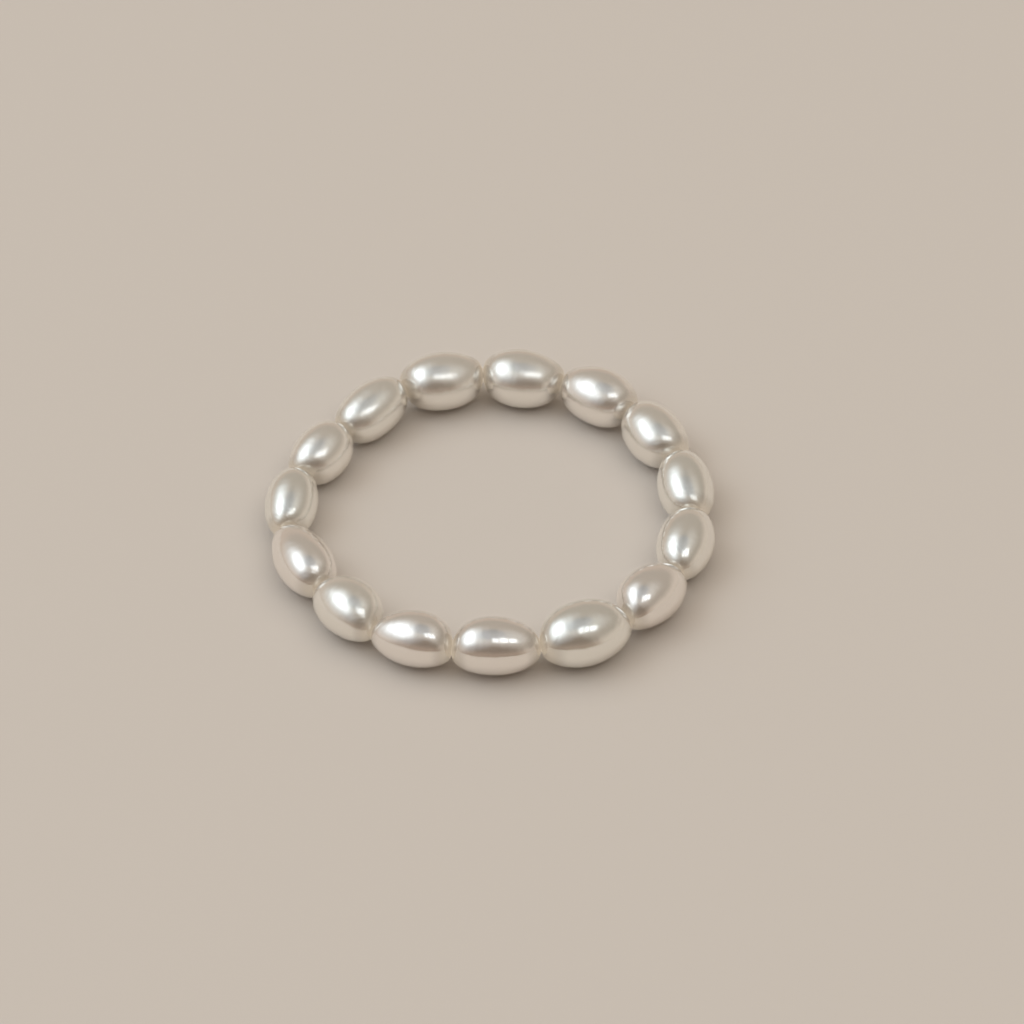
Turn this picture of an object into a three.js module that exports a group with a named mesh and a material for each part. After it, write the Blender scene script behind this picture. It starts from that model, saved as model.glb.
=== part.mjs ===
// Stretch ring of fifteen oval freshwater pearls, strung end to end on a closed loop of elastic.
// Millimetres, +Z up. The ring lies on the plane z = 0, and its bounding box is centred on the Z axis.

import * as THREE from 'three';

// Driving dimensions

const JOINT_GAP = 0.035;         // air between the worn ends of two neighbouring pearls
const BORE_RADIUS = 0.22;        // hole drilled along each pearl
const END_RADIUS = 0.38;         // flat that each pearl has worn where it meets its neighbour
const RIM_WEAR = 0.03;           // width of the broken edge around each end of the hole
const ELASTIC_RADIUS = 0.17;     // cord, straight in the holes and bent at the joints
const STRING_START = 115.5;      // degrees from +X to the joint behind the first pearl

const PEARL_SIDES = 20;          // flats around a pearl, one of them facing straight down
const SKIN_STEPS = 15;           // steps along a pearl's skin
const ELASTIC_SIDES = 8;
const ELASTIC_STATIONS = [0, 0.04, 0.28, 0.5, 0.72, 0.96];   // cross-sections from one joint to the next

// One row per pearl, clockwise seen from above. Lengths are in millimetres.
//   length, width  over the whole pearl, before its ends are worn flat
//   round          height as a share of the width
//   blunt          fullness of the shoulders: 2 is an ellipse, more is closer to a barrel
//   egg            how much fatter the end towards the next pearl is; negative is thinner
//   bow            how far the middle bulges away from the ring's centre, off the drilled axis
//   sway           how far the skin leans up towards the next pearl and down towards the last one
//   step           how far the joint after the pearl stands outside the ring's mean circle
const PEARLS = [
  { length: 4.50, width: 3.25, round: 0.97, blunt: 2.45, egg: -0.03, bow: 0.06, sway: -0.11, step: 0.00 },
  { length: 4.45, width: 3.25, round: 0.97, blunt: 2.40, egg: -0.04, bow: -0.01, sway: -0.08, step: 0.00 },
  { length: 4.45, width: 3.20, round: 0.97, blunt: 2.25, egg: 0.07, bow: 0.10, sway: 0.05, step: 0.00 },
  { length: 4.45, width: 3.10, round: 0.98, blunt: 2.25, egg: 0.04, bow: -0.02, sway: -0.07, step: 0.00 },
  { length: 4.60, width: 2.95, round: 1.00, blunt: 2.15, egg: 0.06, bow: -0.01, sway: -0.28, step: 0.05 },
  { length: 4.60, width: 3.00, round: 0.98, blunt: 2.15, egg: -0.03, bow: 0.04, sway: -0.05, step: 0.20 },
  { length: 4.45, width: 3.10, round: 0.99, blunt: 2.15, egg: -0.02, bow: -0.10, sway: 0.22, step: 0.35 },
  { length: 4.85, width: 3.55, round: 0.94, blunt: 2.15, egg: 0.00, bow: 0.07, sway: 0.00, step: -0.10 },
  { length: 4.55, width: 3.05, round: 1.00, blunt: 2.45, egg: 0.06, bow: -0.06, sway: 0.12, step: -0.25 },
  { length: 4.35, width: 2.95, round: 1.00, blunt: 2.15, egg: -0.07, bow: -0.07, sway: -0.13, step: 0.05 },
  { length: 4.25, width: 3.15, round: 0.97, blunt: 2.15, egg: 0.02, bow: -0.12, sway: -0.10, step: -0.20 },
  { length: 5.00, width: 2.95, round: 0.98, blunt: 2.30, egg: -0.10, bow: 0.10, sway: -0.14, step: 0.25 },
  { length: 4.35, width: 2.80, round: 1.00, blunt: 2.25, egg: -0.02, bow: 0.05, sway: 0.25, step: 0.05 },
  { length: 4.15, width: 3.00, round: 0.98, blunt: 2.15, egg: 0.02, bow: -0.06, sway: 0.14, step: -0.40 },
  { length: 4.65, width: 2.95, round: 1.00, blunt: 2.25, egg: -0.04, bow: 0.04, sway: 0.20, step: 0.10 },
];

const PEARL_COLOUR = 0xe9e4db;
const ELASTIC_COLOUR = 0xefeeea;

// The shape of one pearl

// Skin radius at a share t of the half length, from -1 at the rear tip to 1 at the front tip.
function skinRadius(pearl, t) {
  return pearl.width / 2 * Math.pow(1 - t * t, 1 / pearl.blunt) * (1 + pearl.egg * t);
}

// Share of the half length at which the skin meets the flat end.
function endShare(pearl) {
  const share = END_RADIUS / (pearl.width / 2);
  return Math.sqrt(1 - Math.pow(share, pearl.blunt));
}

// Distance from the pearl's centre to the middle of either flat end.
function endDistance(pearl) {
  return endShare(pearl) * pearl.length / 2;
}

// Points of the skin from the rear end to the front end, closest together towards the ends.
function skinOutline(pearl) {
  const points = [];
  const lastAngle = Math.asin(endShare(pearl));
  for (let i = 0; i <= SKIN_STEPS; i++) {
    const t = Math.sin(lastAngle * (2 * i / SKIN_STEPS - 1));
    points.push(new THREE.Vector2(skinRadius(pearl, t), t * pearl.length / 2));
  }
  return points;
}

// Slides the skin outwards and up or down, but not at the ends. The hole stays straight.
function bendSkin(geometry, pearl) {
  const position = geometry.attributes.position;
  for (let i = 0; i < position.count; i++) {
    const along = position.getY(i) / endDistance(pearl);
    const radius = Math.hypot(position.getX(i), position.getZ(i));
    if (radius > BORE_RADIUS + RIM_WEAR / 2) {
      const share = 1 - along * along;
      position.setX(i, position.getX(i) - pearl.bow * share);
      position.setZ(i, position.getZ(i) + pearl.sway * share * along);
    }
  }
}

// Leans each end, and less and less of the skin behind it, to lie along its joint plane.
function leanEnds(geometry, pearl, leans) {
  const position = geometry.attributes.position;
  for (let i = 0; i < position.count; i++) {
    const along = position.getY(i) / endDistance(pearl);
    const lean = along > 0 ? leans.front : leans.rear;
    const slide = lean.inward * position.getX(i) + lean.upward * position.getZ(i);
    position.setY(i, position.getY(i) + slide * Math.pow(along, 4));
  }
}

// Skin, flat ends and hole as one closed outline, turned about the pearl's own axis.
function pearlGeometry(pearl) {
  const skin = skinOutline(pearl);
  const rear = skin[0];
  const front = skin[skin.length - 1];
  const hole = [
    new THREE.Vector2(BORE_RADIUS + RIM_WEAR, front.y),
    new THREE.Vector2(BORE_RADIUS, front.y - RIM_WEAR),
    new THREE.Vector2(BORE_RADIUS, rear.y + RIM_WEAR),
    new THREE.Vector2(BORE_RADIUS + RIM_WEAR, rear.y),
  ];
  const outline = [...skin, ...hole, rear.clone()];
  const halfFlat = Math.PI / PEARL_SIDES;
  const geometry = new THREE.LatheGeometry(outline, PEARL_SIDES, halfFlat);
  bendSkin(geometry, pearl);
  return geometry;
}

// Height of a level pearl's axis when its lowest flat lies on z = 0.
function axisHeight(pearl) {
  const geometry = pearlGeometry(pearl);
  geometry.computeBoundingBox();
  return -geometry.boundingBox.min.z * pearl.round;
}

// Distance along the axis from the pearl's centre to the joint at either end.
function reach(pearl) {
  return endDistance(pearl) + JOINT_GAP / 2;
}

// The string

const AXIS_HEIGHTS = PEARLS.map(axisHeight);

function before(index) {
  return (index + PEARLS.length - 1) % PEARLS.length;
}

// Height of the joint after a pearl: the taller of its two pearls carries it.
function jointHeight(index) {
  const next = (index + 1) % PEARLS.length;
  return Math.max(AXIS_HEIGHTS[index], AXIS_HEIGHTS[next]);
}

// Angle that a chord spans at the ring's centre, between joints at two radii.
function chordAngle(chord, radiusA, radiusB) {
  const squares = radiusA * radiusA + radiusB * radiusB - chord * chord;
  return Math.acos(squares / (2 * radiusA * radiusB));
}

// Angle at the ring's centre that each pearl takes up, for a mean radius of the joints.
function anglesAt(meanRadius) {
  return PEARLS.map((pearl, i) => {
    const rise = jointHeight(i) - jointHeight(before(i));
    const level = Math.sqrt(4 * reach(pearl) * reach(pearl) - rise * rise);
    return chordAngle(level, meanRadius + PEARLS[before(i)].step, meanRadius + pearl.step);
  });
}

// Mean radius of the joints at which the pearls go round exactly once.
function closingRadius() {
  let tooSmall = 5;
  let tooLarge = 50;
  for (let i = 0; i < 60; i++) {
    const radius = (tooSmall + tooLarge) / 2;
    const turn = anglesAt(radius).reduce((sum, angle) => sum + angle, 0);
    if (turn > 2 * Math.PI) {
      tooSmall = radius;
    } else {
      tooLarge = radius;
    }
  }
  return tooLarge;
}

// The joint after a pearl, at an angle around the ring.
function jointPoint(index, meanRadius, angle) {
  const radius = meanRadius + PEARLS[index].step;
  return new THREE.Vector3(radius * Math.cos(angle), radius * Math.sin(angle), jointHeight(index));
}

// Where each pearl lies: the joint behind it, its centre, and the direction of its axis towards
// the next pearl.
function layString() {
  const radius = closingRadius();
  const angles = anglesAt(radius);
  let angle = THREE.MathUtils.degToRad(STRING_START);
  return PEARLS.map((pearl, i) => {
    const behind = jointPoint(before(i), radius, angle);
    angle -= angles[i];
    const ahead = jointPoint(i, radius, angle);
    const direction = ahead.clone().sub(behind).normalize();
    const centre = behind.clone().add(ahead).divideScalar(2);
    return { pearl, behind, centre, direction };
  });
}

// Turn that points a level pearl's axis, and no other way up, along a direction.
function turnTo(direction) {
  const heading = Math.atan2(direction.y, direction.x);
  return new THREE.Euler(0, -Math.asin(direction.z), heading, 'ZYX');
}

// Slopes of a joint plane across a pearl. The plane halves the bend between the pearl and its
// neighbour there.
function endLean(direction, neighbour) {
  const halving = direction.clone().add(neighbour);
  const turn = turnTo(direction);
  const inward = new THREE.Vector3(0, -1, 0).applyEuler(turn);
  const upward = new THREE.Vector3(0, 0, 1).applyEuler(turn);
  const depth = halving.dot(direction);
  return { inward: -halving.dot(inward) / depth, upward: -halving.dot(upward) / depth };
}

// The pieces

function makePearl({ pearl, centre, direction }, leans, name) {
  const material = new THREE.MeshStandardMaterial({
    color: PEARL_COLOUR,
    roughness: 0.18,
    metalness: 0,
  });
  const geometry = pearlGeometry(pearl);
  leanEnds(geometry, pearl, leans);
  const mesh = new THREE.Mesh(geometry, material);
  mesh.name = name;
  mesh.rotation.z = -Math.PI / 2;
  const place = new THREE.Group();
  place.position.copy(centre);
  place.rotation.copy(turnTo(direction));
  place.scale.z = pearl.round;
  place.add(mesh);
  return place;
}

// A closed line through the joints, with stations along each pearl.
class StrungLoop extends THREE.Curve {
  constructor(string) {
    super();
    this.route = string.flatMap(({ behind }, i) => {
      const ahead = string[(i + 1) % string.length].behind;
      return ELASTIC_STATIONS.map((share) => behind.clone().lerp(ahead, share));
    });
  }

  station(u, offset) {
    const count = this.route.length;
    return this.route[(Math.round(u * count) + offset + count) % count];
  }

  getPointAt(u) {
    return this.station(u, 0).clone();
  }

  // At a joint this halves the bend.
  getTangentAt(u) {
    const here = this.station(u, 0);
    const arriving = here.clone().sub(this.station(u, -1)).normalize();
    const leaving = this.station(u, 1).clone().sub(here).normalize();
    return arriving.add(leaving).normalize();
  }
}

function makeElastic(string) {
  const loop = new StrungLoop(string);
  const geometry = new THREE.TubeGeometry(loop, loop.route.length, ELASTIC_RADIUS, ELASTIC_SIDES, true);
  const material = new THREE.MeshStandardMaterial({
    color: ELASTIC_COLOUR,
    roughness: 0.35,
    metalness: 0,
  });
  const mesh = new THREE.Mesh(geometry, material);
  mesh.name = 'elastic';
  return mesh;
}

function makeRing() {
  const string = layString();
  const ring = new THREE.Group();
  string.forEach((place, i) => {
    const leans = {
      rear: endLean(place.direction, string[before(i)].direction),
      front: endLean(place.direction, string[(i + 1) % string.length].direction),
    };
    ring.add(makePearl(place, leans, `pearl_${String(i + 1).padStart(2, '0')}`));
  });
  ring.add(makeElastic(string));
  const middle = new THREE.Box3().setFromObject(ring, true).getCenter(new THREE.Vector3());
  ring.position.set(-middle.x, -middle.y, 0);
  return ring;
}

export default makeRing();
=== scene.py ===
import math

import bmesh
import bpy
from mathutils import Matrix, Vector, noise


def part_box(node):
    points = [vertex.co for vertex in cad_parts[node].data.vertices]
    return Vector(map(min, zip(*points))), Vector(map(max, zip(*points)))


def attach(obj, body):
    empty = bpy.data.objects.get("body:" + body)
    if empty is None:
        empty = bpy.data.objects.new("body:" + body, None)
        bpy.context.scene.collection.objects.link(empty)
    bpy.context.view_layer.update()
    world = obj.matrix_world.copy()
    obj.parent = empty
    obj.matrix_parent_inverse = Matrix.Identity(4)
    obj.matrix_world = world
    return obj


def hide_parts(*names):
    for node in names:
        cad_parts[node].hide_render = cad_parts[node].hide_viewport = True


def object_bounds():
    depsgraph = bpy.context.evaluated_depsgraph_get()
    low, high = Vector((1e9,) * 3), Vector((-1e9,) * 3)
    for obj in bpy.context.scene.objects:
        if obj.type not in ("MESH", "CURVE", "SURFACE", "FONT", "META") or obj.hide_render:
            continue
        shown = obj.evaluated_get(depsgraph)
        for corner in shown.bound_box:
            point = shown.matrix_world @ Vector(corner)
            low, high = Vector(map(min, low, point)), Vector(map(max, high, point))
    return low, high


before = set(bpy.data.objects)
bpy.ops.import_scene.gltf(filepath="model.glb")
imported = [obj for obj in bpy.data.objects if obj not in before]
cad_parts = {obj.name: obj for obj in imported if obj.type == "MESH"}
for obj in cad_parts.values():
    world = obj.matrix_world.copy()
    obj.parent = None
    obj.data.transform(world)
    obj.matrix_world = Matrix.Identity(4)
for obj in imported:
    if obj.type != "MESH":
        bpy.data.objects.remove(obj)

scene = bpy.context.scene
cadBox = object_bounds()
mm = 0.001
print("frame loaded:", len(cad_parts), "parts")

view = {
    "raised": 43.69,                    # degrees above the floor
    "rolled": -1.66,
    "distance": 240 * mm,
    "lens": 157.9,
    "sensor": 36,
    "nearest": 1 * mm,
    "furthest": 50,
    "aim": (1.182 * mm, 1.270 * mm),    # from the middle of the ring
}


def placeCamera():
    low, high = (Vector(corner) for corner in cadBox)
    middle = (low + high) / 2
    aim = Vector((middle.x + view["aim"][0], middle.y + view["aim"][1], low.z))
    turn = Matrix.Rotation(math.radians(90 - view["raised"]), 4, "X")
    roll = Matrix.Rotation(math.radians(view["rolled"]), 4, "Z")
    lens = bpy.data.cameras.new("camera")
    lens.lens = view["lens"]
    lens.sensor_width = view["sensor"]
    lens.clip_start = view["nearest"]
    lens.clip_end = view["furthest"]
    camera = bpy.data.objects.new("camera", lens)
    back = turn @ Vector((0, 0, view["distance"]))
    camera.matrix_world = Matrix.Translation(aim + back) @ turn @ roll
    scene.collection.objects.link(camera)
    scene.camera = camera


placeCamera()
print("camera placed")


class Flow:
    # a socket that adds, subtracts and multiplies like a number
    def __init__(self, graph, socket):
        self.graph = graph
        self.socket = socket

    def maths(self, operation, first, second=0.0):
        return self.graph.add("ShaderNodeMath", {"operation": operation}, {0: first, 1: second})

    def __add__(self, other):
        return self.maths("ADD", self, other)

    def __radd__(self, other):
        return self.maths("ADD", other, self)

    def __sub__(self, other):
        return self.maths("SUBTRACT", self, other)

    def __rsub__(self, other):
        return self.maths("SUBTRACT", other, self)

    def __mul__(self, other):
        return self.maths("MULTIPLY", self, other)

    def __rmul__(self, other):
        return self.maths("MULTIPLY", other, self)

    def size(self):
        return self.maths("ABSOLUTE", self)


class Graph:
    # the nodes of one material, light or room
    def __init__(self, tree):
        self.tree = tree
        tree.nodes.clear()

    def add(self, kind, settings=None, sockets=None, output=0):
        node = self.tree.nodes.new(kind)
        for name, value in (settings or {}).items():
            setattr(node, name, value)
        for name, value in (sockets or {}).items():
            if isinstance(value, Flow):
                self.tree.links.new(value.socket, node.inputs[name])
            else:
                node.inputs[name].default_value = value
        return Flow(self, node.outputs[output]) if node.outputs else node

    def mixColour(self, share, first, second):
        # a colour mix has its two colours at inputs 6 and 7 and its result at output 2
        return self.add("ShaderNodeMix", {"data_type": "RGBA"}, {"Factor": share, 6: first, 7: second}, 2)

    def noise(self, place, scale, detail, roughness):
        return self.add("ShaderNodeTexNoise", None, {
            "Vector": place, "Scale": scale, "Detail": detail, "Roughness": roughness})

    def spread(self, value, fromLow, fromHigh, toLow=0.0, toHigh=1.0):
        return self.add("ShaderNodeMapRange", {"interpolation_type": "SMOOTHSTEP"}, {
            "Value": value, "From Min": fromLow, "From Max": fromHigh, "To Min": toLow, "To Max": toHigh})

    def patchy(self, cloud, low, high):
        # nearly all of a cloud lies between 0.3 and 0.7
        return self.spread(cloud, 0.3, 0.7, low, high)

    def attribute(self, name):
        return self.add("ShaderNodeAttribute", {"attribute_name": name}, None, "Fac")

    def axis(self, vector, name):
        return self.add("ShaderNodeSeparateXYZ", None, {"Vector": vector}, name)


def newMaterial(name):
    material = bpy.data.materials.new(name)
    material.use_nodes = True
    return material, Graph(material.node_tree)


nacre = {
    "neutral": (0.955, 0.925, 0.872, 1),
    "rosy": (0.963, 0.915, 0.868, 1),
    "green": (0.945, 0.93, 0.875, 1),
    "cloud": (900, 3, 0.6),             # scale for each metre, detail and roughness
    "grain": (5200, 2, 0.5),
    "patches": 0.4,                     # how far the clouds shift the overtone
    "tip": (0.40, 0.365, 0.32, 1),      # the ends are warmer and duller, and darkened so that painted glow takes the place of their reflections
    "tipFrom": 0.62,                    # share of the half length
    "tipDull": 0.85,                    # share of the coat lost there
    "tipPaintedGlow": (0.27, 0.23, 0.18, 1),   # painted glow at the ends, the same in light and shade, standing in for light let through the thin nacre
    "noGlow": (0, 0, 0, 1),
    "metallic": 0.82,
    "ior": 1.55,
    "roughness": (0.14, 0.18),
    "softRough": 0.085,                 # added on the softest pearls
    "softCoat": 0.75,                   # share of the coat that they lack
    "coat": 1.0,
    "edgeCoat": 0.3,
    "edge": (0.4, 0.95),                # where the coat fades, from facing to edge on
    "coatRoughness": 0.07,
    "coatIor": 1.8,
    "rings": 34,                        # growth lines, in radians over half the length
    "ringBend": 0.35,                   # how far the clouds bend them
    "ringHeight": 0.4,                  # in clouds
    "grainHeight": 0.5,
    "ripple": 0.012 * mm,               # height of a cloud
    "bump": 0.15,
}


def makeNacre():
    material, graph = newMaterial("pearlNacre")
    place = graph.add("ShaderNodeTexCoord", None, None, "Object")
    along = graph.attribute("along")
    overtone = graph.attribute("overtone")
    softness = graph.attribute("softness")
    cloud = graph.noise(place, *nacre["cloud"])
    grain = graph.noise(place, *nacre["grain"])
    warmth = overtone + (cloud - 0.5) * nacre["patches"]
    skin = graph.mixColour(graph.spread(warmth, 0.0, 1.0), nacre["neutral"], nacre["rosy"])
    skin = graph.mixColour(graph.spread(warmth, 0.0, -1.0), skin, nacre["green"])
    tip = graph.spread(along.size(), nacre["tipFrom"], 1.0)
    # the ends darken towards the tip colour, dimming their reflections so the painted glow below can
    # replace them
    skin = graph.mixColour(tip, skin, nacre["tip"])
    rough = graph.patchy(cloud, *nacre["roughness"]) + softness * nacre["softRough"]
    facing = graph.add("ShaderNodeLayerWeight", None, None, "Facing")
    gloss = graph.spread(facing, *nacre["edge"], nacre["coat"], nacre["edgeCoat"])
    gloss = gloss * (1.0 - tip * nacre["tipDull"]) * (1.0 - softness * nacre["softCoat"])
    rings = (along + cloud * nacre["ringBend"]) * nacre["rings"]
    rings = graph.add("ShaderNodeMath", {"operation": "SINE"}, {0: rings})
    height = rings * nacre["ringHeight"] + grain * nacre["grainHeight"] + cloud
    # painted glow: emission at the ends that stands in for light passing through the nacre, shown even
    # where they lie in shade
    glow = graph.mixColour(tip * tip, nacre["noGlow"], nacre["tipPaintedGlow"])
    bump = graph.add("ShaderNodeBump", None, {
        "Strength": nacre["bump"], "Distance": nacre["ripple"], "Height": height})
    shader = graph.add("ShaderNodeBsdfPrincipled", None, {
        "Base Color": skin,
        "Metallic": nacre["metallic"],
        "Roughness": rough,
        "Normal": bump,
        "IOR": nacre["ior"],
        "Coat Weight": gloss,
        "Coat Roughness": nacre["coatRoughness"],
        "Coat IOR": nacre["coatIor"],
        # the painted glow at the ends
        "Emission Color": glow,
        "Emission Strength": 1.0,
    })
    graph.add("ShaderNodeOutputMaterial", None, {"Surface": shader})
    material.cycles.emission_sampling = "NONE"
    return material


elastic = {
    "pale": (0.62, 0.55, 0.42, 1),
    "deep": (0.50, 0.43, 0.31, 1),
    "cloud": (2500, 3, 0.6),            # scale for each metre, detail and roughness
    "roughness": (0.28, 0.42),
    "ior": 1.5,
    "clear": 0.3,
    "level": 1,
}


def makeCordFinish():
    material, graph = newMaterial("clearElastic")
    place = graph.add("ShaderNodeTexCoord", None, None, "Object")
    cloud = graph.noise(place, *elastic["cloud"])
    skin = graph.mixColour(cloud, elastic["deep"], elastic["pale"])
    shader = graph.add("ShaderNodeBsdfPrincipled", None, {
        "Base Color": skin,
        "Roughness": graph.patchy(cloud, *elastic["roughness"]),
        "IOR": elastic["ior"],
        "Transmission Weight": elastic["clear"],
    })
    graph.add("ShaderNodeOutputMaterial", None, {"Surface": shader})
    return material


cages = {
    "merge": 0.0005 * mm,
    "flat": 1,                  # most degrees between the two triangles of a flat face
    "fittings": 4,
}


def cageFrom(nodeName, pieceName, sharpFrom=180):
    # the node's triangles joined into four-sided faces, where bends over sharpFrom degrees stay sharp
    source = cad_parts[nodeName].data
    cage = bmesh.new()
    cage.from_mesh(source)
    bmesh.ops.remove_doubles(cage, verts=cage.verts, dist=cages["merge"])
    bmesh.ops.join_triangles(
        cage,
        faces=cage.faces,
        angle_face_threshold=math.radians(cages["flat"]),
        angle_shape_threshold=math.pi,
    )
    bmesh.ops.recalc_face_normals(cage, faces=cage.faces)
    crease = cage.edges.layers.float.new("crease_edge")
    for edge in cage.edges:
        if edge.calc_face_angle() > math.radians(sharpFrom):
            edge[crease] = 1.0
    mesh = bpy.data.meshes.new(pieceName)
    cage.to_mesh(mesh)
    cage.free()
    piece = bpy.data.objects.new(pieceName, mesh)
    scene.collection.objects.link(piece)
    return piece


def smoothed(piece, level):
    # subdivide the cage, moved until its smooth surface passes through the CAD corners
    rounding = piece.modifiers.new("rounding", "SUBSURF")
    rounding.levels = level
    rounding.render_levels = level
    goal = [v.co.copy() for v in piece.data.vertices]
    for fitting in range(cages["fittings"]):
        bpy.context.view_layer.update()
        soft = piece.evaluated_get(bpy.context.evaluated_depsgraph_get()).data
        for corner, target in zip(piece.data.vertices, goal):
            corner.co += target - soft.vertices[corner.index].co
        piece.data.update()
    bpy.context.view_layer.update()
    fine = bpy.data.meshes.new_from_object(piece.evaluated_get(bpy.context.evaluated_depsgraph_get()))
    piece.modifiers.clear()
    rough = piece.data
    piece.data = fine
    bpy.data.meshes.remove(rough)
    fine.shade_smooth()
    return piece


def wear(piece, material):
    piece.data.materials.append(material)


pearls = {
    "level": 2,
    "sharpFrom": 35,            # degrees: only the edges of the drill hole are sharper
    "waviness": 0.008,          # share of the radius
    "broadWaves": 900,          # noise scales for each metre
    "fineWaves": 2000,
    "fineShare": 0.5,
    # positive is pinker, negative is greener
    "overtones": (-0.2, -0.1, 0.5, -0.2, -0.8, -0.5, 1.0, -0.8, 0.8, 1.0, -0.4, 0.9, -0.9, 0.0, -0.5),
    # 0 is a crisp gloss, 1 is a soft one
    "softness": (1.0, 0.9, 0.7, 0.6, 0.3, 0.1, 0.0, 0.0, 0.0, 0.2, 0.8, 0.3, 0.5, 0.8, 1.0),
}


def makePearl(number, finish):
    name = "pearl_%02d" % number
    piece = smoothed(cageFrom(name, "nacre_" + name, pearls["sharpFrom"]), pearls["level"])
    low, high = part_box(name)
    middle = (low + high) / 2
    radial = Vector((middle.x, middle.y, 0)).normalized()
    axis = Vector((-radial.y, radial.x, 0))
    spots = [v.co - middle for v in piece.data.vertices]
    half = max(abs(spot.dot(axis)) for spot in spots)
    along = piece.data.attributes.new("along", "FLOAT", "POINT")
    overtone = piece.data.attributes.new("overtone", "FLOAT", "POINT")
    softness = piece.data.attributes.new("softness", "FLOAT", "POINT")
    for vertex, spot in zip(piece.data.vertices, spots):
        share = spot.dot(axis) / half
        along.data[vertex.index].value = share
        overtone.data[vertex.index].value = pearls["overtones"][number - 1]
        softness.data[vertex.index].value = pearls["softness"][number - 1]
        away = spot - axis * spot.dot(axis)
        swell = noise.noise(vertex.co * pearls["broadWaves"])
        swell += pearls["fineShare"] * noise.noise(vertex.co * pearls["fineWaves"])
        vertex.co += away * swell * pearls["waviness"] * (1 - share ** 2)
    wear(piece, finish)
    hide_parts(name)
    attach(piece, "root")


nacreFinish = makeNacre()
for number in range(1, len(pearls["overtones"]) + 1):
    makePearl(number, nacreFinish)
print("pearls done")

cord = smoothed(cageFrom("elastic", "elasticCord"), elastic["level"])
wear(cord, makeCordFinish())
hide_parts("elastic")
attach(cord, "root")
print("cord done")

floorLook = {
    "reach": 3.0,               # from the middle to each side
    "colour": (0.59, 0.55, 0.512, 1),
    "roughness": 0.9,
    "shine": 0.2,
}


def makeFloor():
    sheet = bmesh.new()
    bmesh.ops.create_grid(sheet, x_segments=1, y_segments=1, size=floorLook["reach"])
    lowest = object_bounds()[0][2]
    bmesh.ops.translate(sheet, verts=sheet.verts, vec=(0, 0, lowest))
    mesh = bpy.data.meshes.new("floor")
    sheet.to_mesh(mesh)
    sheet.free()
    floor = bpy.data.objects.new("floor", mesh)
    scene.collection.objects.link(floor)
    material, graph = newMaterial("floorSheet")
    shader = graph.add("ShaderNodeBsdfPrincipled", None, {
        "Base Color": floorLook["colour"],
        "Roughness": floorLook["roughness"],
        "Specular IOR Level": floorLook["shine"],
    })
    graph.add("ShaderNodeOutputMaterial", None, {"Surface": shader})
    floor.data.materials.append(material)


# azimuth is clockwise from straight ahead, and all angles are in degrees seen from the ring.
# soft is the share of the width or height over which the light fades at each side
windows = {
    "leftWindow": {
        "azimuth": -88, "height": 49, "width": 80, "tall": 57, "glow": 1.38, "colour": (0.76, 0.885, 1),
        "soft": 0.5, "bars": (), "roll": 0,
    },
    "leftGlow": {
        "azimuth": -95, "height": 47, "width": 116, "tall": 104, "glow": 0.47, "colour": (0.78, 0.9, 1),
        "soft": 0.5, "bars": (), "roll": 0,
    },
    "rightGlow": {
        "azimuth": 112, "height": 66, "width": 92, "tall": 70, "glow": 0.27, "colour": (0.86, 0.94, 1),
        "soft": 0.5, "bars": (), "roll": 0,
    },
    "rightWindow": {
        "azimuth": 142, "height": 62, "width": 38, "tall": 24, "glow": 1.3, "colour": (0.86, 0.935, 1),
        "soft": 0.28, "bars": (0.38, 0.66), "roll": -30,
    },
}


hanging = {
    "distance": 1.0,
    "barEdge": (0.025, 0.075),      # shares of the width
    "barGlow": 0.2,
}


def hangWindow(name, look):
    distance = hanging["distance"]
    lamp = bpy.data.lights.new(name, "AREA")
    lamp.shape = "RECTANGLE"
    lamp.size = 2 * distance * math.tan(math.radians(look["width"] / 2))
    lamp.size_y = 2 * distance * math.tan(math.radians(look["tall"] / 2))
    lamp.energy = look["glow"] * math.pi * lamp.size * lamp.size_y
    lamp.color = look["colour"]
    lamp.use_nodes = True
    graph = Graph(lamp.node_tree)
    pane = graph.add("ShaderNodeTexCoord", None, None, "UV")
    across = graph.axis(pane, "X")
    up = graph.axis(pane, "Y")
    glow = 1.0
    for share in (across, up):
        glow = glow * graph.spread((share - 0.5).size(), 0.5, 0.5 - look["soft"])
    for bar in look["bars"]:
        glow = glow * graph.spread((across - bar).size(), *hanging["barEdge"], hanging["barGlow"], 1.0)
    shine = graph.add("ShaderNodeEmission", None, {"Strength": glow})
    graph.add("ShaderNodeOutputLight", None, {"Surface": shine})
    light = bpy.data.objects.new(name, lamp)
    roll = Matrix.Rotation(math.radians(look["roll"]), 4, "Z")
    turn = Matrix.Rotation(math.radians(-look["azimuth"]), 4, "Z")
    tip = Matrix.Rotation(math.radians(look["height"] - 90), 4, "X")
    facing = turn @ tip
    light.matrix_world = Matrix.Translation(facing @ Vector((0, 0, distance))) @ facing @ roll
    light.visible_camera = False
    scene.collection.objects.link(light)


fill = {
    "glow": 0.82,
    "size": 2.0,
    "colour": (1, 0.87, 0.73),
}


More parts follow.
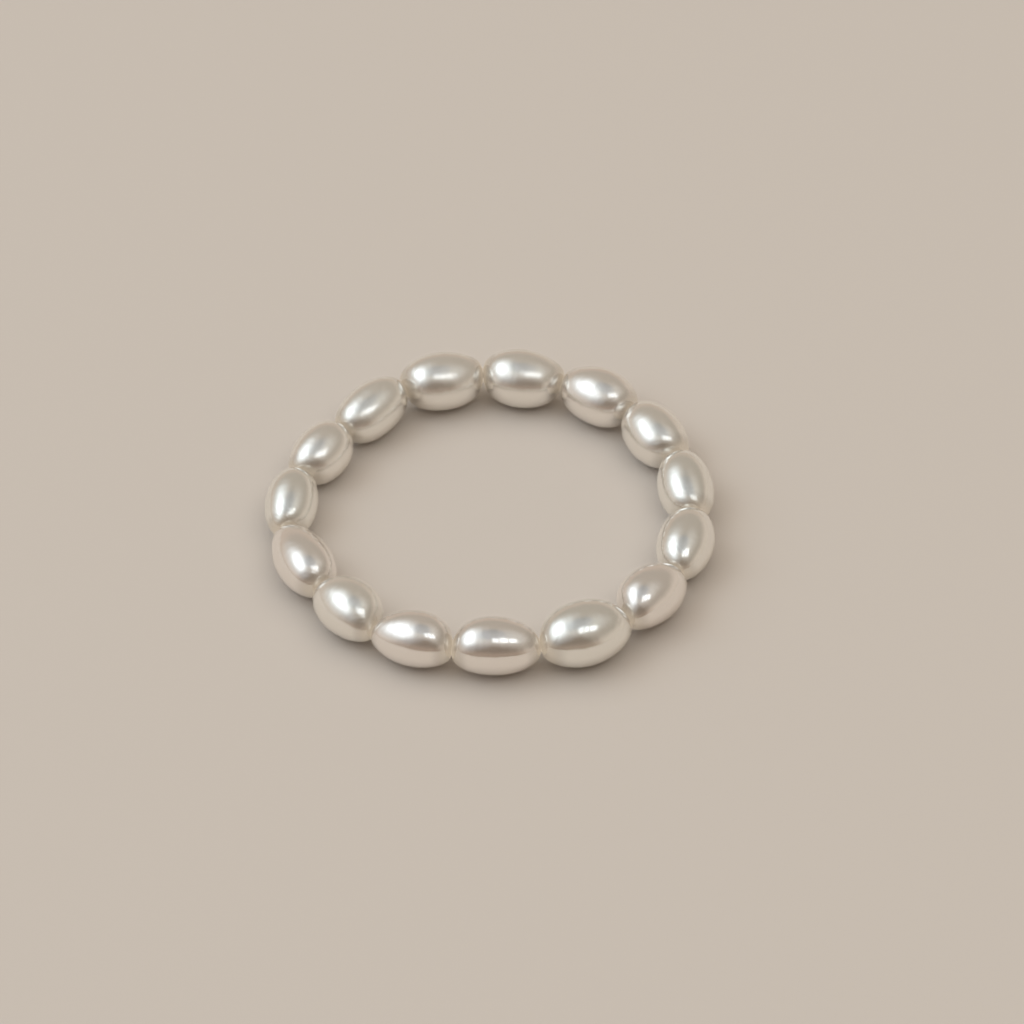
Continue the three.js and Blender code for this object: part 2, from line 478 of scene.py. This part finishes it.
def hangFill():
    # light scattered by a whole room: it lifts the shadows and leaves no reflection of its own
    lamp = bpy.data.lights.new("fill", "AREA")
    lamp.shape = "DISK"
    lamp.size = fill["size"]
    lamp.energy = fill["glow"] * math.pi ** 2 * (fill["size"] / 2) ** 2
    lamp.color = fill["colour"]
    light = bpy.data.objects.new("fill", lamp)
    light.location = (0, 0, fill["size"] / 2)
    light.visible_camera = False
    light.visible_glossy = False
    scene.collection.objects.link(light)


room = {
    "folds": (0.45, 0.37, 0.30, 1),
    "rightFolds": (0.56, 0.49, 0.42, 1),
    "walls": (0.335, 0.295, 0.245, 1),
    "ceiling": (0.20, 0.20, 0.20, 1),
    # the dark side, behind the camera
    "darkFolds": (0.27, 0.2, 0.148, 1),
    "darkWalls": (0.14, 0.1, 0.07, 1),
    "darkWay": (-0.174, -0.985),
    # where one turns into the next, as shares of the way round or up
    "darkEdge": (0.45, 0.8),
    "rightEdge": (0.1, 0.9),
    "foldsTop": (0.14, 0.47),
    "wallsTop": (0.88, 0.98),
}


def makeRoom():
    # pale slopes low down all round, walls above them and a ceiling
    world = bpy.data.worlds.new("room")
    scene.world = world
    world.use_nodes = True
    graph = Graph(world.node_tree)
    direction = graph.add("ShaderNodeTexCoord", None, None, "Generated")
    right = graph.axis(direction, "X")
    far = graph.axis(direction, "Y")
    up = graph.axis(direction, "Z")
    dark = graph.spread(right * room["darkWay"][0] + far * room["darkWay"][1], *room["darkEdge"])
    low = graph.mixColour(graph.spread(right, *room["rightEdge"]), room["folds"], room["rightFolds"])
    low = graph.mixColour(dark, low, room["darkFolds"])
    above = graph.mixColour(dark, room["walls"], room["darkWalls"])
    around = graph.mixColour(graph.spread(up, *room["foldsTop"]), low, above)
    around = graph.mixColour(graph.spread(up, *room["wallsTop"]), around, room["ceiling"])
    light = graph.add("ShaderNodeBackground", None, {"Color": around})
    graph.add("ShaderNodeOutputWorld", None, {"Surface": light})


makeFloor()
for name, look in windows.items():
    hangWindow(name, look)
hangFill()
makeRoom()
scene.view_settings.view_transform = "Standard"
print("floor and lights done")
